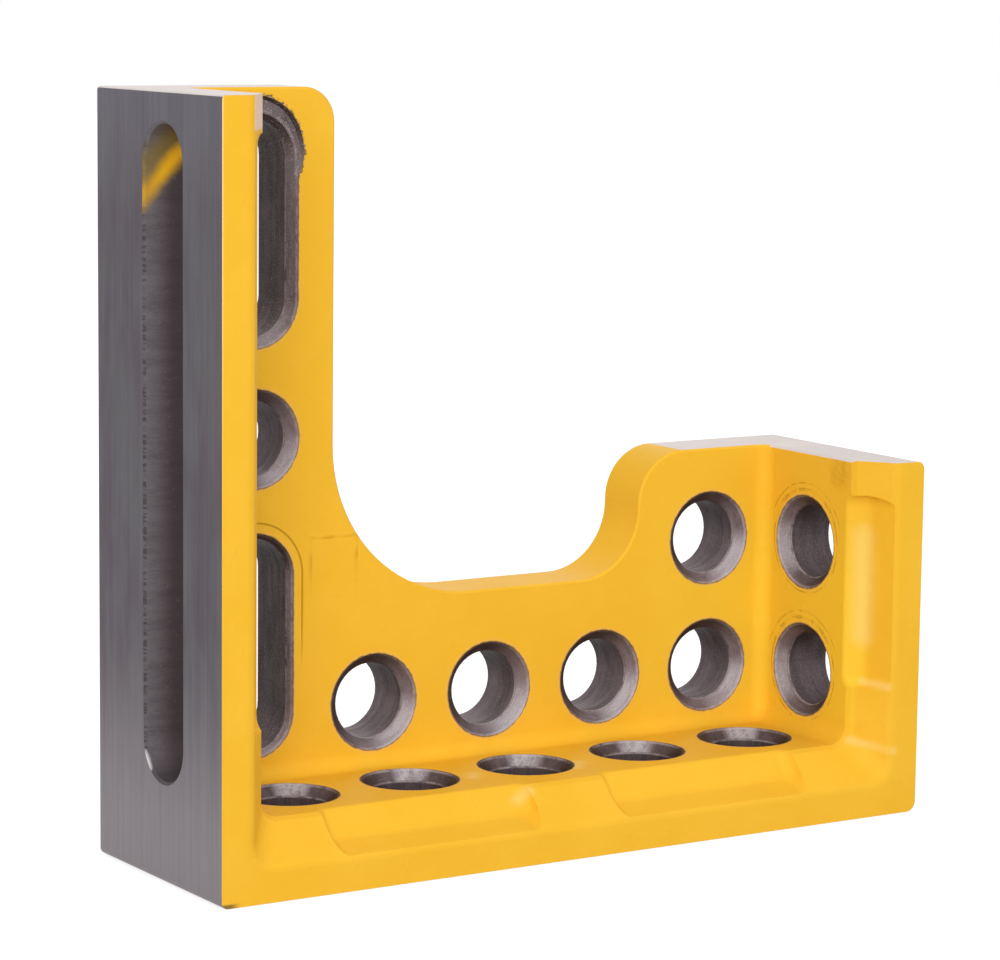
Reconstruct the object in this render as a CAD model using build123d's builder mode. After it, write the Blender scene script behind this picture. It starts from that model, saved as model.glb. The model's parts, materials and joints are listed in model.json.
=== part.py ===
"""Angle plate for a welding table with a 28 mm hole system: one iron casting.

X runs along the foot, Y from the open side to the back, Z up from the foot.
The origin is in the middle of the underside. All sizes are in millimetres.
"""

import os

from build123d import *

# Outline of the casting
length = 300.0
height = 275.0
depth = 93.0
low_height = 135.0
leg_width = 82.5

# Walls, measured at the bores, and the lip that they thin down to at the open side
web_thickness = 24.0
floor_thickness = 26.0
side_thickness = 23.0
lip_thickness = 12.5
rim_depth = 14.0

# Cut-out between the tall leg and the low end. The two radii of its low side share that side's height.
notch_floor = 88.0
notch_end = 217.0
notch_leg_radius = 58.0
notch_end_radius = 26.0
notch_end_share = 0.56
shoulder_radius = 20.0
shoulder_share = 0.43
leg_corner_radius = 12.5

# Outer corners, as worn by handling
toe_radius = 4.0
heel_radius = 2.5
low_corner_radius = 3.0
top_corner_radius = 1.5

# Cast radii inside, and fine edges round the front and the back
wall_corner_radius = 7.0
web_fillet_radius = 5.5
lip_radius = 5.0
knee = 1.1
scoop_edge_radius = 2.0
front_edge = 0.8
back_edge = 0.6

# Hole system: first bore and rows from the outer faces, then a square pitch up to a last land
pitch = 50.0
first_bore = 50.0
last_land = 24.0
row_from_back = 50.0
bore_diameter = 28.0
bore_rim = 4.0
exit_edge = 1.0
rim_angle = 45.0

# Rims of the slots, and the shallow spot that the cutter left at the top of the upper one
lower_slot_rim = 2.0
upper_slot_rim = 3.5
side_slot_rim = 2.0
spot_radius = 19.7
spot_rise = 2.5
spot_depth = 1.2

# Scoops that lighten the sloping rim: section, then where they start and end
scoop_toe_depth = 11.0
scoop_toe_rise = 3.8
scoop_heel_depth = 17.5
scoop_toe_radius = 6.0
scoop_end_radius = 5.0
floor_scoop_left_land = 46.0
floor_scoop_right_land = 50.0
floor_scoop_rib = 32.0
low_end_scoop_foot = 47.5
tall_end_scoop_foot = 57.0
scoop_top_land = 12.75

# Places that follow from the sizes above
left = -length / 2
right = length / 2
front = -depth / 2
back = depth / 2
web_face = back - web_thickness
row_y = back - row_from_back
bore_radius = bore_diameter / 2
low_wall = low_height - notch_floor
floor_scoop_length = (length - floor_scoop_left_land - floor_scoop_rib - floor_scoop_right_land) / 2
clear = 20.0
near = 0.01

# Working planes on the inner faces, each looking into the open side of the square
outline_plane = Plane(origin=(left, back, 0), x_dir=(1, 0, 0), z_dir=(0, -1, 0))
web_plane = Plane(origin=(left, web_face, 0), x_dir=(1, 0, 0), z_dir=(0, -1, 0))
floor_plane = Plane(origin=(left, row_y, floor_thickness), x_dir=(1, 0, 0), z_dir=(0, 0, 1))
tall_plane = Plane(origin=(left + side_thickness, row_y, 0), x_dir=(0, 1, 0), z_dir=(1, 0, 0))
low_plane = Plane(origin=(right - side_thickness, row_y, 0), x_dir=(0, -1, 0), z_dir=(-1, 0, 0))


def grid(step):
    """Distance from an outer face to the bore that many pitches along."""
    return first_bore + step * pitch


def last_step(extent):
    """Steps of the pitch from the first bore to the last one that fits in this extent."""
    return int((extent - first_bore - last_land) / pitch)


def inner_frame(side, floor):
    """Corners of the opening inside walls of these thicknesses, open at the top."""
    top = height + clear
    return [(side, top), (side, floor), (length - side, floor), (length - side, top)]


def thinned(wall, flare):
    """Thickness of a wall this share of the way along the flare, from 0 at its throat to 1 at the lip."""
    return wall - flare * (wall - lip_thickness)


def rim_edges(part, y):
    """Edges that run round the opening at this depth, without those above and outside the casting."""
    ring = part.edges().filter_by_position(Axis.Y, y - near, y + near)
    return ring.filter_by(lambda edge: abs(edge.center().X) < right and 0 < edge.center().Z < height)


# How far the square grid of bores reaches along the foot, up the low end and up the tall end
along_steps = last_step(length)
low_steps = last_step(low_height)
tall_steps = last_step(height)

# Bores of the web: a row above the foot, a column by the low end, and the tall leg's single ones
web_bores = [(step, 0) for step in range(1, along_steps + 1)]
web_bores += [(along_steps, step) for step in range(1, low_steps + 1)]
web_bores += [(0, step) for step in range(2, tall_steps - 1)]

# Slots: the plane and thickness of the wall, the steps at the ends of the centre line, and the rim
leg_plane = web_plane * Pos(grid(0), 0)
slots = [
    (leg_plane, web_thickness, 0, 1, lower_slot_rim),
    (leg_plane, web_thickness, tall_steps - 1, tall_steps, upper_slot_rim),
    (tall_plane, side_thickness, 0, tall_steps, side_slot_rim),
]

# The space inside the three walls: straight down to the web, a small knee, and the flare of the rim.
# A slab in front of the casting lets the edges of the rim be rounded here.
with BuildPart() as cavity:
    with BuildSketch(outline_plane.offset(web_thickness)) as pocket:
        with BuildLine():
            walls = inner_frame(side_thickness, floor_thickness)
            FilletPolyline(walls, radius=(0, wall_corner_radius, wall_corner_radius, 0), close=True)
        make_face()
    extrude(amount=depth - web_thickness - rim_depth - knee)
    fillet(cavity.faces().sort_by(Axis.Y)[-1].edges(), web_fillet_radius)
    for rise, flare in ((-knee, 0), (knee, knee / rim_depth), (rim_depth, 1)):
        with BuildSketch(outline_plane.offset(depth - rim_depth + rise)):
            with BuildLine():
                walls = inner_frame(thinned(side_thickness, flare), thinned(floor_thickness, flare))
                FilletPolyline(walls, radius=(0, wall_corner_radius, wall_corner_radius, 0), close=True)
            make_face()
    loft(ruled=True)
    with BuildSketch(outline_plane.offset(depth)) as apron:
        with Locations((length / 2, height / 2)):
            Rectangle(length + 2 * clear, height + 2 * clear)
    extrude(amount=clear)
    fillet(rim_edges(cavity, front), lip_radius)


def scoop_section(wall):
    """Section of a scoop: x is the depth from the open side, y the height from the outer face."""
    toe = Vector(scoop_toe_depth, lip_thickness + scoop_toe_rise)
    lip = Vector(0, lip_thickness)
    heel = Vector(scoop_heel_depth, wall)
    outside = lip + (lip - toe) * (clear / scoop_toe_depth)
    inside = heel + (heel - toe) * (clear / (wall - toe.Y))
    return [outside, toe, inside, Vector(outside.X, inside.Y)]


def scoop_tool(place, wall, run):
    """Tool for a scoop that starts on this plane and runs this far, with rounded ends."""
    with BuildPart() as tool:
        with BuildSketch(place):
            with BuildLine():
                FilletPolyline(scoop_section(wall), radius=(0, scoop_toe_radius, 0, 0), close=True)
            make_face()
        extrude(amount=run)
        ends = tool.faces().filter_by(Axis(place.origin, place.z_dir))
        fillet(ends.edges(), scoop_end_radius)
    return tool.part


# Tools for the scoops, one for each wall
floor_scoop_start = Plane(origin=(left, front, 0), x_dir=(0, 1, 0), z_dir=(1, 0, 0))
low_scoop_start = Plane(origin=(right, front, low_end_scoop_foot), x_dir=(0, 1, 0), z_dir=(0, 0, 1))
tall_scoop_start = Plane(origin=(left, front, height - scoop_top_land), x_dir=(0, 1, 0), z_dir=(0, 0, -1))
floor_scoop = scoop_tool(floor_scoop_start, floor_thickness, floor_scoop_length)
low_end_scoop = scoop_tool(low_scoop_start, side_thickness, low_height - scoop_top_land - low_end_scoop_foot)
tall_end_scoop = scoop_tool(tall_scoop_start, side_thickness, height - scoop_top_land - tall_end_scoop_foot)


# The casting
with BuildPart() as angle_plate:
    with BuildSketch(outline_plane):
        with BuildLine():
            outline = [
                (0, 0),
                (length, 0),
                (length, low_height),
                (notch_end, low_height),
                (notch_end, notch_floor),
                (leg_width, notch_floor),
                (leg_width, height),
                (0, height),
            ]
            corner_radii = (
                heel_radius,
                toe_radius,
                low_corner_radius,
                min(shoulder_radius, shoulder_share * low_wall),
                min(notch_end_radius, notch_end_share * low_wall),
                notch_leg_radius,
                leg_corner_radius,
                top_corner_radius,
            )
            FilletPolyline(outline, radius=corner_radii, close=True)
        make_face()
    extrude(amount=depth)
    add(cavity.part, mode=Mode.SUBTRACT)

    # Fine edges: one chain runs round the front and the cut-out, the other round the back
    leg_edges = angle_plate.edges().filter_by_position(Axis.Y, web_face - near, web_face + near)
    chamfer(leg_edges.filter_by(Axis.Z).sort_by(Axis.X)[1], front_edge)
    chamfer(angle_plate.faces().sort_by(Axis.Y)[-1].outer_wire().edges(), back_edge)

    # Scoops in the rim, each rounded all round from the edge at its heel
    floor_scoop_starts = (floor_scoop_left_land, floor_scoop_left_land + floor_scoop_length + floor_scoop_rib)
    with Locations(*[(start, 0, 0) for start in floor_scoop_starts]):
        add(floor_scoop, mode=Mode.SUBTRACT)
    fillet(angle_plate.edges(Select.LAST).filter_by(Axis.X).group_by(Axis.Y)[-1], scoop_edge_radius)
    for end_scoop in (low_end_scoop, tall_end_scoop):
        add(end_scoop, mode=Mode.SUBTRACT)
        fillet(angle_plate.edges(Select.LAST).filter_by(Axis.Z).group_by(Axis.Y)[-1], scoop_edge_radius)

    # Bores, countersunk from inside
    rim_radius = bore_radius + bore_rim
    with Locations(*[web_plane * Pos(grid(along), grid(up)) for along, up in web_bores]):
        CounterSinkHole(bore_radius, rim_radius, web_thickness + exit_edge, counter_sink_angle=2 * rim_angle)
    with Locations(*[floor_plane * Pos(grid(step), 0) for step in range(along_steps + 1)]):
        CounterSinkHole(bore_radius, rim_radius, floor_thickness + exit_edge, counter_sink_angle=2 * rim_angle)
    with Locations(*[low_plane * Pos(0, grid(step)) for step in range(low_steps + 1)]):
        CounterSinkHole(bore_radius, rim_radius, side_thickness + exit_edge, counter_sink_angle=2 * rim_angle)

    # Slots, straight through, then their rims
    for wall_plane, wall, lower, upper, rim in slots:
        centres = (upper - lower) * pitch
        middle = wall_plane * Pos(0, grid(lower) + centres / 2)
        with BuildSketch(middle):
            SlotCenterToCenter(centres, bore_diameter, rotation=90)
        extrude(amount=-wall, mode=Mode.SUBTRACT)
        with BuildSketch(middle):
            SlotCenterToCenter(centres, bore_diameter + 2 * rim, rotation=90)
        extrude(amount=-rim, taper=rim_angle, mode=Mode.SUBTRACT)
    with BuildSketch(leg_plane * Pos(0, grid(tall_steps) + spot_rise)):
        Circle(spot_radius)
    extrude(amount=-spot_depth, taper=rim_angle, mode=Mode.SUBTRACT)

    # Broken edges where bores and slots leave the machined outer faces
    for outward, place in ((Axis.Y, -1), (Axis.Z, 0), (Axis.X, 0), (Axis.X, -1)):
        outer_face = angle_plate.faces().sort_by(outward)[place]
        chamfer(outer_face.inner_wires().edges(), exit_edge)

angle_plate.part.label = "angle_plate"

os.makedirs("parts", exist_ok=True)
export_step(angle_plate.part, "parts/angle_plate.step")
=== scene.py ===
import json
import math

import bpy
from mathutils import Matrix, Vector

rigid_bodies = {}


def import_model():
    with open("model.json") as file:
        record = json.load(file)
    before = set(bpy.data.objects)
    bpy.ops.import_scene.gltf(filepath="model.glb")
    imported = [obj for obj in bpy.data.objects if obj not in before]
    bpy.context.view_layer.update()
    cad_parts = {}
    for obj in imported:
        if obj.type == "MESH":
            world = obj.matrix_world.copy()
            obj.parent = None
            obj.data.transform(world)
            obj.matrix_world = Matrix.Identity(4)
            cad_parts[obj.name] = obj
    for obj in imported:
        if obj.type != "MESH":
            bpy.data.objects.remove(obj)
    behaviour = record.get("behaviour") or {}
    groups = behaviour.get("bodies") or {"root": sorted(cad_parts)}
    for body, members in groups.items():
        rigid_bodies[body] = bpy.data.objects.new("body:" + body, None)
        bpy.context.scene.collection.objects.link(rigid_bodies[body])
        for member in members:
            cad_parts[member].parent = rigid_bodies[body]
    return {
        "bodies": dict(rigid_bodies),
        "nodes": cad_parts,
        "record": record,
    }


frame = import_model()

casting = frame["nodes"]["angle_plate"]
bores = [mount for mount in frame["record"]["mounts"] if mount["kind"] == "bore"]

# The casting's own sizes, in metres. BORE_REACH is the most that a bore reaches from its mount, and
# the ground tops lie left of TALL_TOP_ENDS and right of LOW_TOP_STARTS.
HALF_LENGTH = 0.150
HEIGHT = 0.275
LOW_HEIGHT = 0.135
BACK = 0.0465
WEB_FACE = 0.0225
FLOOR_TOP = 0.026
END_INSIDE = 0.127
SIDE_WALL = 0.023
BORE_REACH = 0.0148
ROW_Y = -0.0035
BORE_RIM = 0.018
COUNTERSINK = 0.004
LOWER_SLOT_RIM = 0.016
LOWER_SLOT_BEVEL = 0.002
UPPER_SLOT_RIM = 0.0175
UPPER_SLOT_BEVEL = 0.0035
SIDE_SLOT_RIM = 0.016
CUTTER_RADIUS = 0.0197
SPOT_CENTRE = (-0.100, 0.0, 0.2525)
SPOT_DEPTH = 0.0013
TALL_TOP_ENDS = -0.0825
LOW_TOP_STARTS = 0.0885

# How far the rounded edges reach from the back, the ends and tops, and the foot. CLOSE is the slack
# for places, and a facet faces across an axis when its normal's share of it is under ACROSS.
BACK_EDGE = 0.0007
OUTER_EDGE = 0.0031
FOOT_EDGE = 0.0041
CLOSE = 0.00005
ACROSS = 0.95

# Each slot's upright centre line as its place and its lowest and highest end, then its rim and wall
LOWER_SLOT = ((-0.100, WEB_FACE), (0.050, 0.100), LOWER_SLOT_RIM, "web")
UPPER_SLOT = ((-0.100, WEB_FACE), (0.200, 0.250), UPPER_SLOT_RIM, "web")
SIDE_SLOT = ((-0.1385, ROW_Y), (0.050, 0.250), SIDE_SLOT_RIM, "end")
SLOTS = (LOWER_SLOT, UPPER_SLOT, SIDE_SLOT)

# Zones of the casting. Each line is an axis, where the zone begins on it and where it is full. Two
# more numbers, if given, are the levels there instead of 0 and 1.
X, Y, Z = range(3)
ON_WEB = ((Y, 0.021, 0.022),)
ON_LOW_END = ((X, 0.1262, 0.1268),)
PAINTED_LIGHT_BESIDE_LOW_END = (
    (X, 0.035, 0.1268),
    (Y, -0.036, -0.033),
    (Z, 0.027, 0.036),
    (Z, 0.130, 0.080, 0.05, 0.65),
)
GROOVED = ((Z, 0.060, 0.085), *ON_WEB)
FRAMED = (*ON_WEB, (Z, 0.090, 0.102, 0.1, 1.0))
TALL_CORNER_HIGHLIGHT = (
    (X, -0.1493, -0.1497),
    (Y, -0.0457, -0.0460),
    (Z, 0.120, 0.250, 0.0, 0.5),
)
LAND_OVER_SCOOP_HIGHLIGHT = (
    (X, -0.1260, -0.1266),
    (X, -0.1378, -0.1368),
    (Y, -0.0300, -0.0310),
    (Z, 0.2625, 0.2640),
)
HEEL = ((X, -0.1420, -0.1470), (Z, 0.0020, 0.0010))
SLOT_TICKS = ((X, -0.1488, -0.1493), (Y, 0.0085, 0.0095))

# Marks on the paint and in the side slot, with lines of painted highlight among them. Lines are
# given as start, end and half width.
FRAME_CENTRE = (-0.0675, 0.102)
FRAME_HALF = (0.0095, 0.011)
ROUGH_SPOT = (0.127, -0.0250, 0.130)
CUTTER_RINGS = (0.0206, 0.0228)
SLOT_EDGE_HIGHLIGHT = ((-0.1497, 0.0108, 0.0440), (-0.1497, 0.0068, 0.0385), 0.0016)
PALE_HIGHLIGHT_LINES = (
    ((0.1320, -0.0349, 0.0500), (0.1365, -0.0450, 0.0492), 0.0028),
    ((0.1270, -0.0341, 0.0277), (0.1390, -0.0458, 0.0245), 0.0028),
    ((0.1318, -0.0336, 0.1060), (0.1322, -0.0340, 0.0680), 0.0075),
    ((-0.0182, -0.0340, 0.0244), (-0.0240, -0.0308, 0.0190), 0.0040),
    ((-0.0285, -0.0125, 0.0260), (-0.0250, -0.0070, 0.0260), 0.0045),
    ((0.0140, -0.0170, 0.0260), (0.0195, -0.0095, 0.0260), 0.0045),
)

# Ways to stretch a pattern along the lines that a cutter drew
ROUND_WEB_BORE = (0.12, 1.0, 0.12)
ROUND_FOOT_BORE = (1.0, 1.0, 0.05)
ROUND_END_BORE = (1.0, 0.12, 0.12)
ACROSS_SIDE_SLOT = (0.15, 1.0, 1.0)
UPRIGHT = (1.0, 1.0, 0.02)
LENGTHWISE = (0.02, 1.0, 1.0)
FRONT_TO_BACK = (1.0, 0.02, 1.0)
BLOTCH = (1.0, 1.0, 0.35)
TICK = (0.2, 0.2, 1.0)


# Small helpers for building shader nodes
def plug(tree, socket, value):
    """Sets a socket to a plain value, or links another socket to it."""
    if isinstance(value, bpy.types.NodeSocket):
        tree.links.new(value, socket)
    elif value is not None:
        socket.default_value = value


def calc(tree, way, first, second=None, third=None):
    """One step of arithmetic on plain numbers."""
    node = tree.nodes.new("ShaderNodeMath")
    node.operation = way
    for socket, value in zip(node.inputs, (first, second, third)):
        plug(tree, socket, value)
    return node.outputs[0]


def product(tree, first, *others):
    """Several numbers multiplied together."""
    for other in others:
        first = calc(tree, "MULTIPLY", first, other)
    return first


def largest(tree, first, *others):
    """The largest of several numbers."""
    for other in others:
        first = calc(tree, "MAXIMUM", first, other)
    return first


def vector_calc(tree, way, first, second=None, scale=None):
    """One step of arithmetic on vectors. Length, distance and dot product give a number."""
    node = tree.nodes.new("ShaderNodeVectorMath")
    node.operation = way
    plug(tree, node.inputs[0], first)
    plug(tree, node.inputs[1], second)
    plug(tree, node.inputs[3], scale)
    return node.outputs[1] if way in ("LENGTH", "DISTANCE", "DOT_PRODUCT") else node.outputs[0]


def spread(tree, value, low, high, to_low=0.0, to_high=1.0, soft=True):
    """Spreads a value between two marks, smoothly or straight, and holds it outside them."""
    node = tree.nodes.new("ShaderNodeMapRange")
    node.interpolation_type = "SMOOTHSTEP" if soft else "LINEAR"
    for socket, given in zip(node.inputs, (value, low, high, to_low, to_high)):
        plug(tree, socket, given)
    return node.outputs[0]


def mix(tree, share, first, second):
    """Mixes two colours."""
    node = tree.nodes.new("ShaderNodeMix")
    node.data_type = "RGBA"
    plug(tree, node.inputs[0], share)
    plug(tree, node.inputs[6], first)
    plug(tree, node.inputs[7], second)
    return node.outputs[2]


def noise(tree, place, scale, detail=2.0, roughness=0.5):
    """A value from 0 to 1 that wanders smoothly, with features about 1/scale metres wide."""
    node = tree.nodes.new("ShaderNodeTexNoise")
    plug(tree, node.inputs["Vector"], place)
    plug(tree, node.inputs["Scale"], scale)
    node.inputs["Detail"].default_value = detail
    node.inputs["Roughness"].default_value = roughness
    return node.outputs["Fac"]


def axes(tree, place):
    """The x, y and z of a place."""
    node = tree.nodes.new("ShaderNodeSeparateXYZ")
    plug(tree, node.inputs[0], place)
    return node.outputs


def point(tree, x, y, z):
    """A place from its x, y and z."""
    node = tree.nodes.new("ShaderNodeCombineXYZ")
    for socket, value in zip(node.inputs, (x, y, z)):
        plug(tree, socket, value)
    return node.outputs[0]


def in_zone(tree, place, zone):
    """1 where a place is well inside a zone, and 0 outside it."""
    along = axes(tree, place)
    return product(tree, *(spread(tree, along[axis], *marks) for axis, *marks in zone))


def from_centre_line(tree, place, slot):
    """How far a place lies from a slot's centre line, seen straight through its wall."""
    x, y, z = axes(tree, place)
    (slot_x, slot_y), (low, high), _, wall = slot
    held = calc(tree, "MINIMUM", calc(tree, "MAXIMUM", z, low), high)
    if wall == "web":
        return vector_calc(tree, "DISTANCE", point(tree, x, 0.0, z), point(tree, slot_x, 0.0, held))
    return vector_calc(tree, "DISTANCE", point(tree, 0.0, y, z), point(tree, 0.0, slot_y, held))


def ring(tree, away, radius, half_width):
    """1 on a thin ring of this radius, falling off to 0 on both sides."""
    off = calc(tree, "ABSOLUTE", calc(tree, "SUBTRACT", away, radius))
    return spread(tree, off, 0.0, half_width, 1.0, 0.0)


def along_line(tree, place, start, end, half_width):
    """1 on a thin line from start to end, falling off to 0 beside it."""
    start, run = Vector(start), Vector(end) - Vector(start)
    from_start = vector_calc(tree, "SUBTRACT", place, start)
    share = vector_calc(tree, "DOT_PRODUCT", from_start, run / run.length_squared)
    share = spread(tree, share, 0.0, 1.0, soft=False)
    nearest = vector_calc(tree, "SCALE", run, None, share)
    away = vector_calc(tree, "DISTANCE", from_start, nearest)
    return spread(tree, away, 0.0, half_width, 1.0, 0.0)


def bump(tree, shader, height, depth):
    """Raises the surface by a height map of this depth, in metres."""
    node = tree.nodes.new("ShaderNodeBump")
    node.inputs["Strength"].default_value = 1.0
    node.inputs["Distance"].default_value = depth
    tree.links.new(height, node.inputs["Height"])
    tree.links.new(node.outputs["Normal"], shader.inputs["Normal"])


def colour(red, green, blue):
    """A colour given as it looks on a screen, 0 to 255, in the linear values of a shader."""
    def linear(level):
        level = level / 255
        return level / 12.92 if level <= 0.04045 else ((level + 0.055) / 1.055) ** 2.4
    return (linear(red), linear(green), linear(blue), 1.0)


def new_group(name, inputs, outputs):
    """An empty shader node group. Its sockets are given as (name, kind, value) and (name, kind)."""
    group = bpy.data.node_groups.new(name, "ShaderNodeTree")
    for label, kind, value in inputs:
        socket = group.interface.new_socket(name=label, in_out="INPUT", socket_type=kind)
        socket.default_value = value
    for label, kind in outputs:
        group.interface.new_socket(name=label, in_out="OUTPUT", socket_type=kind)
    return group, group.nodes.new("NodeGroupInput"), group.nodes.new("NodeGroupOutput")


def use_group(tree, group, **values):
    """Places a group in a material. Each value is named as its socket, in small letters."""
    node = tree.nodes.new("ShaderNodeGroup")
    node.node_tree = group
    for label, value in values.items():
        plug(tree, node.inputs[label.capitalize()], value)
    return node.outputs


def new_material(name):
    """A material, its tree and shader, and the place of each point in the casting's own frame."""
    material = bpy.data.materials.new(name)
    material.use_nodes = True
    tree = material.node_tree
    shader = tree.nodes["Principled BSDF"]
    place = tree.nodes.new("ShaderNodeTexCoord").outputs["Object"]
    return material, tree, shader, place


# Effects that the materials share
def bores_through(axis):
    """The bores that run along this axis."""
    return [bore for bore in bores if abs(bore["axis"][axis]) > 0.5]


def make_rim_distance():
    """How far a place lies beyond the rim of the nearest bore or slot, negative inside it."""
    group, given, result = new_group(
        "rim_distance", [("Place", "NodeSocketVector", (0, 0, 0))], [("Beyond", "NodeSocketFloat")]
    )
    place = given.outputs["Place"]
    x = axes(group, place)["X"]
    towards_low_end = calc(group, "MAXIMUM", x, 0.0)
    towards_tall_end = calc(group, "MAXIMUM", calc(group, "MULTIPLY", x, -1.0), 0.0)
    beyond = []
    for bore in bores:
        across = [1 - abs(part) for part in bore["axis"]]
        centre = [part * share for part, share in zip(bore["pos_m"], across)]
        away = vector_calc(group, "DISTANCE", vector_calc(group, "MULTIPLY", place, across), centre)
        if bore in bores_through(X):
            away = calc(group, "ADD", away, towards_tall_end)
        beyond.append(calc(group, "SUBTRACT", away, BORE_RIM))
    for slot in SLOTS:
        away = from_centre_line(group, place, slot)
        if slot is SIDE_SLOT:
            away = calc(group, "ADD", away, towards_low_end)
        beyond.append(calc(group, "SUBTRACT", away, slot[2]))
    nearest = beyond[0]
    for distance in beyond[1:]:
        nearest = calc(group, "MINIMUM", nearest, distance)
    group.links.new(nearest, result.inputs["Beyond"])
    return group


def make_cast_skin():
    """The skin of a sand casting: a fine grain, slow swells, and a few pits and lumps."""
    group, given, result = new_group(
        "cast_skin",
        [("Place", "NodeSocketVector", (0, 0, 0))],
        [("Height", "NodeSocketFloat"), ("Mottle", "NodeSocketFloat")],
    )
    place = given.outputs["Place"]
    grain = noise(group, place, 900.0, 3.0, 0.6)
    swell = noise(group, place, 75.0)
    broad = noise(group, place, 22.0, 1.0)
    lumps = spread(group, noise(group, place, 210.0, 1.0, 0.4), 0.68, 0.80)
    height = calc(group, "MULTIPLY_ADD", grain, 0.10, calc(group, "MULTIPLY", swell, 0.55))
    height = calc(group, "MULTIPLY_ADD", broad, 1.3, height)
    height = calc(group, "MULTIPLY_ADD", lumps, 0.14, height)
    group.links.new(height, result.inputs["Height"])
    mottle = calc(group, "MULTIPLY_ADD", swell, 0.4, calc(group, "MULTIPLY", broad, 0.6))
    group.links.new(mottle, result.inputs["Mottle"])
    return group


def make_tool_marks():
    """Marks of a cutter: fine lines that run along a given direction, with a few deeper ones."""
    group, given, result = new_group(
        "tool_marks",
        [
            ("Place", "NodeSocketVector", (0, 0, 0)),
            ("Squeeze", "NodeSocketVector", (1, 1, 1)),
        ],
        [
            ("Height", "NodeSocketFloat"),
            ("Streak", "NodeSocketFloat"),
            ("Scratch", "NodeSocketFloat"),
        ],
    )
    drawn = vector_calc(group, "MULTIPLY", given.outputs["Place"], given.outputs["Squeeze"])
    fine = noise(group, drawn, 2600.0, 2.0, 0.6)
    wide = noise(group, drawn, 420.0)
    deep = spread(group, noise(group, drawn, 900.0, 0.0), 0.70, 0.76)
    group.links.new(calc(group, "MULTIPLY_ADD", fine, 0.5, wide), result.inputs["Height"])
    streak = calc(group, "MULTIPLY_ADD", fine, 0.45, calc(group, "MULTIPLY", wide, 0.55))
    group.links.new(streak, result.inputs["Streak"])
    group.links.new(deep, result.inputs["Scratch"])
    return group


def make_specks():
    """Small ragged specks, at a given size and share of the surface."""
    group, given, result = new_group(
        "specks",
        [
            ("Place", "NodeSocketVector", (0, 0, 0)),
            ("Size", "NodeSocketFloat", 0.001),
            ("Share", "NodeSocketFloat", 0.3),
        ],
        [("Specks", "NodeSocketFloat")],
    )
    scale = calc(group, "DIVIDE", 1.0, given.outputs["Size"])
    ragged = noise(group, given.outputs["Place"], scale, 3.0, 0.65)
    edge = calc(group, "SUBTRACT", 0.78, calc(group, "MULTIPLY", given.outputs["Share"], 0.5))
    specks = spread(group, ragged, edge, calc(group, "ADD", edge, 0.06))
    group.links.new(specks, result.inputs["Specks"])
    return group


RIM_DISTANCE = make_rim_distance()
CAST_SKIN = make_cast_skin()
TOOL_MARKS = make_tool_marks()
SPECKS = make_specks()


# Parts of the yellow paint
def paint_colour(tree, place, mottle):
    """Yellow that changes slowly, painted paler and more lemon beside the low end as painted light.
    """
    base = mix(tree, spread(tree, mottle, 0.35, 0.65), colour(244, 187, 48), colour(247, 191, 54))
    # Painted light: a paler lemon yellow beside the low end
    return mix(tree, in_zone(tree, place, PAINTED_LIGHT_BESIDE_LOW_END), base, colour(253, 208, 58))


def wear_rims(tree, place, base):
    """Thins the paint at the rims, draws a brown line there, and chips it round the upper spot."""
    beyond = use_group(tree, RIM_DISTANCE, place=place)["Beyond"]
    thin = spread(tree, beyond, 0.0003, 0.0016, 0.45, 0.0)
    base = mix(tree, thin, base, colour(236, 184, 110))

    ragged = calc(tree, "MULTIPLY_ADD", noise(tree, place, 500.0), -0.0008, beyond)
    line = spread(tree, ragged, -0.0004, 0.0002, 0.85, 0.0)
    base = mix(tree, line, base, colour(112, 78, 52))

    x, _, z = axes(tree, place)
    from_spot = vector_calc(tree, "DISTANCE", point(tree, x, 0.0, z), SPOT_CENTRE)
    ragged = calc(tree, "MULTIPLY_ADD", noise(tree, place, 700.0, 3.0, 0.75), -0.0050, from_spot)
    chips = spread(tree, ragged, CUTTER_RADIUS - 0.0024, CUTTER_RADIUS - 0.0018, 0.85, 0.0)
    chips = product(tree, chips, in_zone(tree, place, ON_WEB))
    specks = use_group(tree, SPECKS, place=place, size=0.0009, share=0.55)["Specks"]
    return mix(tree, chips, base, mix(tree, specks, colour(66, 53, 50), colour(150, 138, 135)))


def cutter_traces(tree, place):
    """The groove round the lower slot, and broken rings over the low end's bores."""
    groove = ring(tree, from_centre_line(tree, place, LOWER_SLOT), CUTTER_RADIUS, 0.0005)
    groove = product(tree, groove, in_zone(tree, place, GROOVED))

    _, y, z = axes(tree, place)
    beyond = use_group(tree, RIM_DISTANCE, place=place)["Beyond"]
    rings = ring(tree, beyond, 0.0019, 0.0006)
    for bore in bores_through(X):
        _, bore_y, bore_z = bore["pos_m"]
        away = vector_calc(tree, "DISTANCE", point(tree, 0.0, y, z), (0.0, bore_y, bore_z))
        drawn = largest(tree, *(ring(tree, away, radius, 0.0004) for radius in CUTTER_RINGS))
        drawn = product(tree, drawn, spread(tree, z, bore_z + 0.004, bore_z + 0.014))
        rings = largest(tree, rings, drawn)
    broken = spread(tree, noise(tree, place, 240.0, 2.0, 0.6), 0.40, 0.60, 0.1, 0.65)
    rings = product(tree, rings, in_zone(tree, place, ON_LOW_END), broken)
    return largest(tree, groove, rings)


def paint_highlights_and_heel(tree, place, base):
    """Paints pale highlights on the tall front corner and over the tall scoop, and paints the heel
    dark.
    """
    # Painted highlight along the tall front corner's edge
    base = mix(tree, in_zone(tree, place, TALL_CORNER_HIGHLIGHT), base, colour(255, 240, 190))
    # Painted highlight on the land over the tall scoop
    land_highlight = product(tree, in_zone(tree, place, LAND_OVER_SCOOP_HIGHLIGHT), 0.9)
    base = mix(tree, land_highlight, base, colour(244, 216, 198))
    heel = product(tree, in_zone(tree, place, HEEL), 0.75)
    return mix(tree, heel, base, colour(70, 58, 56))


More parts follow.
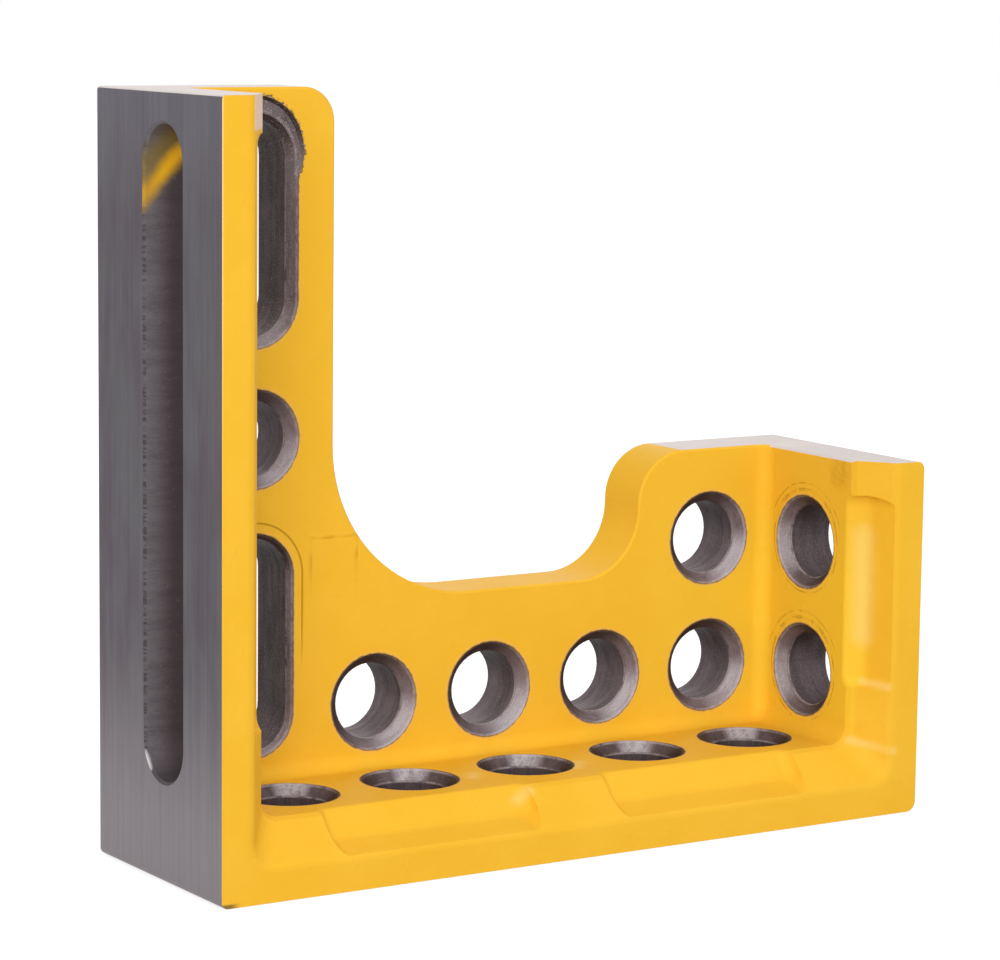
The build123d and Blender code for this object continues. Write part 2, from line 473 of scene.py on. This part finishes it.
def cast_frame(tree, place):
    """1 along the edges of the plain raised frame on the web, fading out towards its foot."""
    x, _, z = axes(tree, place)
    beyond = []
    for value, centre, half in zip((x, z), FRAME_CENTRE, FRAME_HALF):
        off = calc(tree, "ABSOLUTE", calc(tree, "SUBTRACT", value, centre))
        beyond.append(calc(tree, "SUBTRACT", off, half))
    from_edge = calc(tree, "ABSOLUTE", largest(tree, *beyond))
    patchy = spread(tree, noise(tree, place, 130.0, 1.0), 0.35, 0.60, 0.15, 1.0)
    raised = spread(tree, from_edge, 0.0002, 0.0009, 1.0, 0.0)
    return product(tree, raised, patchy, in_zone(tree, place, FRAMED))


def yellow_paint():
    """Yellow paint on the cast faces, ragged where the cutters went through it."""
    material, tree, shader, place = new_material("yellow_paint")
    skin = use_group(tree, CAST_SKIN, place=place)
    base = wear_rims(tree, place, paint_colour(tree, place, skin["Mottle"]))
    cut = cutter_traces(tree, place)
    # The groove and the rings are painted darker, as painted shade in them
    base = mix(tree, product(tree, cut, 0.40), base, colour(166, 108, 20))
    base = paint_highlights_and_heel(tree, place, base)
    raised = cast_frame(tree, place)
    # The frame's edges are painted darker, as painted shade along them
    base = mix(tree, product(tree, raised, 0.35), base, colour(208, 146, 26))

    # Pale painted highlights in the low end's scoop, at its foot, on the mitre of the rim and along
    # the foot
    highlighted = largest(tree, *(along_line(tree, place, *highlight_line) for highlight_line in PALE_HIGHLIGHT_LINES))
    base = mix(tree, product(tree, highlighted, 0.28), base, colour(255, 230, 160))

    # Rough spot on the low end's inner face
    from_rough = vector_calc(tree, "DISTANCE", place, ROUGH_SPOT)
    lumpy = spread(tree, from_rough, 0.0030, 0.0085, 1.0, 0.0)
    lumpy = product(tree, noise(tree, place, 420.0, 2.0, 0.6), lumpy)
    base = mix(tree, product(tree, lumpy, 0.35), base, colour(170, 120, 20))

    height = skin["Height"]
    for mark, share in ((cut, -0.7), (raised, 0.5), (lumpy, 1.2)):
        height = calc(tree, "MULTIPLY_ADD", mark, share, height)
    tree.links.new(base, shader.inputs["Base Color"])
    shader.inputs["Roughness"].default_value = 0.55
    shader.inputs["Specular IOR Level"].default_value = 0.1
    bump(tree, shader, height, 0.0006)
    return material


# The bare iron
def milled_face(name, squeeze):
    """A milled outer face with fine cutter marks: dark iron, paler towards the foot and the top."""
    material, tree, shader, place = new_material(name)
    marks = use_group(tree, TOOL_MARKS, place=place, squeeze=squeeze)
    z = axes(tree, place)["Z"]
    blotches = noise(tree, vector_calc(tree, "MULTIPLY", place, BLOTCH), 55.0, 3.0, 0.55)
    base = mix(tree, spread(tree, blotches, 0.35, 0.65), colour(85, 76, 84), colour(93, 90, 95))
    base = mix(tree, spread(tree, z, 0.090, 0.012), base, colour(132, 125, 129))
    base = mix(tree, spread(tree, z, 0.225, 0.275, 0.0, 0.5), base, colour(112, 109, 119))
    base = mix(tree, spread(tree, marks["Streak"], 0.35, 0.75, 0.0, 0.04), base, colour(62, 58, 64))
    base = mix(tree, product(tree, marks["Scratch"], 0.03), base, colour(190, 184, 186))
    tree.links.new(base, shader.inputs["Base Color"])
    shader.inputs["Metallic"].default_value = 0.85
    tree.links.new(spread(tree, marks["Streak"], 0.3, 0.7, 0.42, 0.55), shader.inputs["Roughness"])
    bump(tree, shader, marks["Height"], 0.000008)
    return material


def ground_top_painted_sheen():
    """The ground tops of the two ends, painted near white and a little pink as a painted reflection
    of the light on them.
    """
    material, tree, shader, place = new_material("ground_top_painted_sheen")
    marks = use_group(tree, TOOL_MARKS, place=place, squeeze=FRONT_TO_BACK)
    drift = spread(tree, noise(tree, place, 40.0), 0.35, 0.65)
    base = mix(tree, drift, colour(234, 223, 218), colour(226, 217, 213))
    base = mix(tree, product(tree, marks["Streak"], 0.2), base, colour(176, 166, 166))
    tree.links.new(base, shader.inputs["Base Color"])
    shader.inputs["Metallic"].default_value = 0.1
    shader.inputs["Specular IOR Level"].default_value = 0.1
    shader.inputs["Roughness"].default_value = 0.65
    bump(tree, shader, marks["Height"], 0.000006)
    return material


def towards_painted_light(tree, axis, on_rim, painted_light_sides):
    """How far a place faces the side where light is painted on: one direction on the wall, another
    on the rim.
    """
    across = [0.0 if number == axis else 1.0 for number in range(3)]
    normal = tree.nodes.new("ShaderNodeTexCoord").outputs["Normal"]
    faced = vector_calc(tree, "MULTIPLY", normal, across)
    length = calc(tree, "MAXIMUM", vector_calc(tree, "LENGTH", faced), 0.5)
    faced = vector_calc(tree, "SCALE", faced, None, calc(tree, "DIVIDE", 1.0, length))
    wall_side, rim_side = (Vector(side).normalized() for side in painted_light_sides)
    turned = vector_calc(tree, "SCALE", rim_side - wall_side, None, on_rim)
    return vector_calc(tree, "DOT_PRODUCT", faced, vector_calc(tree, "ADD", turned, wall_side))


def bored_wall(
    name, squeeze, shades, axis, inside, rim_width, rim_gain, painted_light_sides, painted_glint,
    shaded=-0.75, speckled_from=1.0,
):
    """The wall of a bore or slot: dark, with marks of the cutter, and painted light and shade that
    make it bright on one side.

    It runs along an axis, and its countersink meets the wall at inside on that axis. The painted
    glint, a highlight on the rim, is given as its strength and how narrow it is."""
    material, tree, shader, place = new_material(name)
    bright, dark = shades
    marks = use_group(tree, TOOL_MARKS, place=place, squeeze=squeeze)
    specks = use_group(tree, SPECKS, place=place, size=0.0005, share=0.40)["Specks"]
    beyond = use_group(tree, RIM_DISTANCE, place=place)["Beyond"]
    on_rim = spread(tree, beyond, 0.0002 - rim_width, 0.0005 - rim_width)
    along = axes(tree, place)
    # Painted light and shade: the wall runs from the dark to the bright shade by how far it faces
    # the lit side
    towards = towards_painted_light(tree, axis, on_rim, painted_light_sides)
    painted_light = spread(tree, towards, shaded, 0.95)
    drift = spread(tree, noise(tree, place, 120.0), 0.30, 0.70, -0.12, 0.12)
    base = mix(tree, calc(tree, "ADD", painted_light, drift), dark, bright)

    # The countersink is lighter than the wall behind it, most of all on its painted lit side, and
    # the edges on both sides of it are worn, with a painted highlight on the lit side
    rim_tone_and_highlight = product(tree, on_rim, calc(tree, "MULTIPLY_ADD", painted_light, rim_gain, 0.02))
    base = mix(tree, rim_tone_and_highlight, base, colour(186, 172, 176))
    streaks = spread(tree, marks["Streak"], 0.40, 0.65, 0.0, 0.40)
    base = mix(tree, streaks, base, colour(52, 40, 41))
    outer_edge = ring(tree, beyond, -0.0004, 0.0006)
    inner_edge = ring(tree, along[axis], inside, 0.0006)
    worn_and_highlit = product(
        tree,
        spread(tree, noise(tree, place, 320.0, 3.0, 0.6), 0.30, 0.60, 0.1, 0.65),
        largest(tree, outer_edge, inner_edge),
        calc(tree, "MULTIPLY_ADD", painted_light, 0.8, 0.2),
    )
    base = mix(tree, worn_and_highlit, base, colour(192, 178, 180))

    # Bright bits all over, more of them on the painted lit side and where it is rough, and a
    # painted glint on the lit side of the rim
    rough = spread(tree, along[Z], speckled_from, speckled_from + 0.010, 0.08, 0.33)
    bits = product(tree, specks, calc(tree, "MULTIPLY_ADD", painted_light, rim_gain, rough))
    base = mix(tree, bits, base, colour(206, 196, 198))
    strength, narrow = painted_glint
    streaky = spread(tree, marks["Streak"], 0.36, 0.60, 0.30, 0.85)
    glitter = calc(tree, "MULTIPLY_ADD", specks, 0.6, streaky)
    painted_glint_share = product(tree, spread(tree, towards, narrow, 1.0, 0.0, strength), on_rim, glitter)
    base = mix(tree, painted_glint_share, base, colour(204, 196, 202))

    tree.links.new(base, shader.inputs["Base Color"])
    shader.inputs["Metallic"].default_value = 0.1
    shader.inputs["Specular IOR Level"].default_value = 0.12
    tree.links.new(spread(tree, marks["Streak"], 0.3, 0.7, 0.45, 0.65), shader.inputs["Roughness"])
    bump(tree, shader, calc(tree, "MULTIPLY_ADD", specks, 0.3, marks["Height"]), 0.00003)
    return material


def side_slot_wall():
    """The wall of the tall end's slot: dark, with a streak of paint that drifted in at the top."""
    material, tree, shader, place = new_material("side_slot_wall")
    marks = use_group(tree, TOOL_MARKS, place=place, squeeze=ACROSS_SIDE_SLOT)
    specks = use_group(tree, SPECKS, place=place, size=0.0014, share=0.3)["Specks"]
    x, _, z = axes(tree, place)
    # Painted light and shade: lighter near the outer face and darker deeper in the slot
    base = mix(tree, spread(tree, x, -0.150, -0.137), colour(112, 106, 111), colour(66, 55, 57))
    base = mix(tree, spread(tree, marks["Streak"], 0.35, 0.70, 0.0, 0.35), base, colour(44, 38, 40))
    base = mix(tree, product(tree, specks, 0.15), base, colour(150, 140, 144))

    # Short dark ticks of the cutter at the outer edge, the dark lower end and a painted highlight
    # line on the edge in it
    stretched = vector_calc(tree, "MULTIPLY", place, TICK)
    ticks = spread(tree, noise(tree, stretched, 1100.0, 2.0, 0.6), 0.44, 0.58, 0.35, 1.0)
    ticks = product(tree, ticks, in_zone(tree, place, SLOT_TICKS), 0.75)
    base = mix(tree, ticks, base, colour(44, 37, 39))
    low_end = product(tree, spread(tree, z, 0.046, 0.037), 0.6)
    base = mix(tree, low_end, base, colour(46, 37, 39))
    # Painted highlight on the outer edge at the slot's lower end
    edge_highlight = product(tree, along_line(tree, place, *SLOT_EDGE_HIGHLIGHT), 0.85)
    base = mix(tree, edge_highlight, base, colour(236, 230, 230))

    # The streak of paint slants up with x, with a haze over it, and wanders a little
    off_streak = calc(tree, "SUBTRACT", z, calc(tree, "MULTIPLY_ADD", x, 1.1, 0.4034))
    off_haze = calc(tree, "ABSOLUTE", calc(tree, "SUBTRACT", off_streak, 0.006))
    haze = spread(tree, off_haze, 0.003, 0.016, 0.65, 0.0)
    base = mix(tree, haze, base, colour(136, 112, 38))
    drifted = calc(tree, "MULTIPLY", noise(tree, place, 160.0), -0.003)
    wander = calc(tree, "ADD", calc(tree, "ABSOLUTE", off_streak), drifted)
    streak = spread(tree, wander, -0.0015, 0.0060, 1.0, 0.0)
    streak = product(tree, streak, spread(tree, x, -0.150, -0.141, 0.6, 1.0))
    base = mix(tree, streak, base, colour(232, 172, 4))

    tree.links.new(base, shader.inputs["Base Color"])
    shader.inputs["Metallic"].default_value = 0.1
    shader.inputs["Specular IOR Level"].default_value = 0.25
    shader.inputs["Roughness"].default_value = 0.5
    bump(tree, shader, marks["Height"], 0.00003)
    return material


# Finishes of the casting, in the order of its material slots. Shades are the bright and the dark
# colour between which a wall's painted light and shade runs.
WEB_SHADES = colour(120, 105, 108), colour(56, 43, 43)
END_SHADES = colour(104, 90, 93), colour(50, 37, 37)
FOOT_SHADES = colour(94, 80, 81), colour(36, 27, 27)
SLOT_SHADES = colour(104, 90, 90), colour(48, 36, 35)
FINISHES = [
    yellow_paint(),
    milled_face("milled_ends", UPRIGHT),
    milled_face("milled_back", UPRIGHT),
    milled_face("milled_foot", LENGTHWISE),
    ground_top_painted_sheen(),
    bored_wall(
        "bored_through_web", ROUND_WEB_BORE, WEB_SHADES, Y, WEB_FACE + COUNTERSINK, COUNTERSINK,
        rim_gain=0.16, painted_light_sides=((-0.30, 0, 0.95), (-0.76, 0, 0.65)), painted_glint=(0.75, 0.62),
    ),
    bored_wall(
        "bored_through_foot", ROUND_FOOT_BORE, FOOT_SHADES, Z, FLOOR_TOP - COUNTERSINK, COUNTERSINK,
        rim_gain=0.04, painted_light_sides=((-0.53, -0.85, 0), (-0.53, -0.85, 0)), painted_glint=(0.95, 0.88),
        shaded=0.15,
    ),
    bored_wall(
        "bored_through_end", ROUND_END_BORE, END_SHADES, X, END_INSIDE + COUNTERSINK, COUNTERSINK,
        rim_gain=0.12, painted_light_sides=((0, -0.45, 0.89), (0, -0.96, 0.28)), painted_glint=(0.55, 0.65),
    ),
    bored_wall(
        "lower_web_slot", ROUND_WEB_BORE, SLOT_SHADES, Y, WEB_FACE + LOWER_SLOT_BEVEL,
        LOWER_SLOT_BEVEL, rim_gain=0.45, painted_light_sides=((0, 0, 1), (0, 0, 1)), painted_glint=(0.20, 0.50),
    ),
    bored_wall(
        "upper_web_slot", ROUND_WEB_BORE, SLOT_SHADES, Y, WEB_FACE + UPPER_SLOT_BEVEL,
        UPPER_SLOT_BEVEL, rim_gain=0.45, painted_light_sides=((0, 0, 1), (0, 0, 1)), painted_glint=(0.20, 0.50),
        speckled_from=0.245,
    ),
    side_slot_wall(),
]
(
    PAINT, ENDS, BACK_FACE, FOOT, TOPS,
    WEB_BORES, FOOT_BORES, END_BORES, LOW_SLOT, HIGH_SLOT, SIDE,
) = range(len(FINISHES))


def within_bore(bore, where):
    """Whether a place lies inside the rim of a bore, in the wall that it goes through."""
    axis = Vector(bore["axis"])
    offset = where - Vector(bore["pos_m"])
    along = offset.dot(axis)
    return (offset - along * axis).length < BORE_RIM + CLOSE and abs(along) < BORE_REACH


def within_slot(slot, where):
    """Whether a place lies inside the rim of a slot, in the wall that it goes through."""
    (x, y), (low, high), rim, wall = slot
    reach = rim + CLOSE
    up = min(max(where.z, low), high)
    if wall == "web":
        return math.hypot(where.x - x, where.z - up) < reach and where.y > WEB_FACE - 2 * CLOSE
    inside = SIDE_WALL - HALF_LENGTH + 2 * CLOSE
    return math.hypot(where.y - y, where.z - up) < reach and where.x < inside


def hole_finish(where, normal):
    """Which finish a facet in a bore, a slot or the upper slot's spot has, or None elsewhere."""
    for axis, finish in ((X, END_BORES), (Y, WEB_BORES), (Z, FOOT_BORES)):
        inside = any(within_bore(bore, where) for bore in bores_through(axis))
        if inside and abs(normal[axis]) < ACROSS:
            return finish
    for slot, finish, axis in (
        (LOWER_SLOT, LOW_SLOT, Y), (UPPER_SLOT, HIGH_SLOT, Y), (SIDE_SLOT, SIDE, X),
    ):
        if within_slot(slot, where) and abs(normal[axis]) < ACROSS:
            return finish
    from_spot = math.hypot(where.x - SPOT_CENTRE[0], where.z - SPOT_CENTRE[2])
    if from_spot < CUTTER_RADIUS + CLOSE and CLOSE < where.y - WEB_FACE < SPOT_DEPTH:
        return HIGH_SLOT
    return None


def outer_finish(where, normal):
    """Which finish a facet outside the holes has."""
    if where.y > BACK - BACK_EDGE:
        return BACK_FACE
    if abs(where.x) > HALF_LENGTH - CLOSE and abs(normal.x) > 0.9:
        return ENDS
    if normal.y < -0.3:
        return PAINT
    if where.z < FOOT_EDGE and normal.z < 0.05:
        return FOOT
    top = HEIGHT if where.x < 0 else LOW_HEIGHT
    over_an_end = where.x < TALL_TOP_ENDS or where.x > LOW_TOP_STARTS
    if where.z > top - OUTER_EDGE and normal.z > 0.2 and over_an_end:
        on_end = abs(where.x) > HALF_LENGTH - OUTER_EDGE
        return ENDS if on_end and normal.z < 0.7 else TOPS
    return PAINT


def finish_casting():
    """Gives each facet of the casting its finish. The mesh itself stays as packed."""
    mesh = casting.data
    mesh.materials.clear()
    for material in FINISHES:
        mesh.materials.append(material)
    for polygon in mesh.polygons:
        finish = hole_finish(polygon.center, polygon.normal)
        if finish is None:
            finish = outer_finish(polygon.center, polygon.normal)
        polygon.material_index = finish


# Camera at the photograph's place. Heading, rise over the horizon and roll are in degrees.
CAMERA_PLACE = (-0.721795, -1.117241, 0.317258)
HEADING = -32.827
RISE = 8.335
ROLL = 0.715
SENSOR_WIDTH = 36.0
FOCAL_LENGTH = 131.889
SHIFT = (-0.02146, 0.02560)
CLIP = (0.05, 50.0)


def place_camera():
    """Sets up the camera where the photograph was taken from."""
    heading, rise, roll = (math.radians(angle) for angle in (HEADING, RISE, ROLL))
    forward = Vector((
        -math.sin(heading) * math.cos(rise),
        math.cos(heading) * math.cos(rise),
        -math.sin(rise),
    ))
    right = Vector((math.cos(heading), math.sin(heading), 0))
    up = right.cross(forward)
    right, up = (
        right * math.cos(roll) + up * math.sin(roll),
        up * math.cos(roll) - right * math.sin(roll),
    )
    turned = Matrix((right, up, -forward)).transposed().to_4x4()
    lens = bpy.data.cameras.new("camera")
    lens.sensor_width = SENSOR_WIDTH
    lens.lens = FOCAL_LENGTH
    lens.shift_x, lens.shift_y = SHIFT
    lens.clip_start, lens.clip_end = CLIP
    camera = bpy.data.objects.new("camera", lens)
    camera.matrix_world = Matrix.Translation(CAMERA_PLACE) @ turned
    bpy.context.scene.collection.objects.link(camera)
    bpy.context.scene.camera = camera


# Soft square lamps, each with its place, size and power in watts, all aimed at one point
LAMP_AIM = (0.0, 0.0, 0.12)
LAMPS = (
    ("key_light", (-1.30, -1.98, 0.80), 1.3, 33.5),
    ("fill_light", (1.7, -1.3, 0.8), 1.4, 4.0),
    ("top_light", (0.1, -0.3, 2.2), 1.5, 3.5),
    ("back_light", (0.9, 2.1, 1.1), 1.4, 8.0),
)
WORLD_LIGHT = 0.60
FLOOR_HALF = 6.0
FLOOR_DROP = 0.0002
FLOOR_GREY = 0.45
FLOOR_GLOW = 0.72


def add_lamp(name, place, size, power):
    """A square soft lamp that looks at the casting."""
    lamp = bpy.data.lights.new(name, "AREA")
    lamp.shape = "SQUARE"
    lamp.size = size
    lamp.energy = power
    holder = bpy.data.objects.new(name, lamp)
    holder.location = place
    holder.rotation_mode = "QUATERNION"
    holder.rotation_quaternion = (Vector(LAMP_AIM) - Vector(place)).to_track_quat("-Z", "Y")
    bpy.context.scene.collection.objects.link(holder)


def white_to_camera(tree, plain, when_seen):
    """A strength that is one thing as light, and another for the camera and in reflections."""
    path = tree.nodes.new("ShaderNodeLightPath")
    rays = ("Is Camera Ray", "Is Glossy Ray", "Is Transmission Ray")
    seen = largest(tree, *(path.outputs[ray] for ray in rays))
    return spread(tree, seen, 0.0, 1.0, plain, when_seen, soft=False)


def light_studio():
    """A white world and the lamps."""
    world = bpy.data.worlds.new("studio")
    bpy.context.scene.world = world
    world.use_nodes = True
    tree = world.node_tree
    background = tree.nodes["Background"]
    background.inputs["Color"].default_value = (1, 1, 1, 1)
    tree.links.new(white_to_camera(tree, WORLD_LIGHT, 1.0), background.inputs["Strength"])
    for lamp in LAMPS:
        add_lamp(*lamp)


def lay_floor():
    """A pale floor that keeps the object's shadow, is white otherwise, and is clear from below."""
    mesh = bpy.data.meshes.new("floor")
    signs = ((-1, -1), (1, -1), (1, 1), (-1, 1))
    corners = [(x * FLOOR_HALF, y * FLOOR_HALF, -FLOOR_DROP) for x, y in signs]
    mesh.from_pydata(corners, [], [(0, 1, 2, 3)])
    floor = bpy.data.objects.new("floor", mesh)
    bpy.context.scene.collection.objects.link(floor)
    material, tree, shader, _ = new_material("pale_floor")
    shader.inputs["Base Color"].default_value = (FLOOR_GREY, FLOOR_GREY, FLOOR_GREY, 1)
    shader.inputs["Roughness"].default_value = 0.9
    shader.inputs["Emission Color"].default_value = (1, 1, 1, 1)
    tree.links.new(white_to_camera(tree, 0.0, FLOOR_GLOW), shader.inputs["Emission Strength"])
    from_below = tree.nodes.new("ShaderNodeNewGeometry").outputs["Backfacing"]
    tree.links.new(calc(tree, "SUBTRACT", 1.0, from_below), shader.inputs["Alpha"])
    mesh.materials.append(material)


def clear_start_up():
    """Removes what Blender's start-up scene holds, so that only the casting is there."""
    kept = {casting, *frame["bodies"].values()}
    for spare in [item for item in bpy.data.objects if item not in kept]:
        bpy.data.objects.remove(spare)


clear_start_up()
bpy.context.view_layer.update()
bpy.context.scene.view_settings.view_transform = "Standard"
finish_casting()
place_camera()
light_studio()
lay_floor()
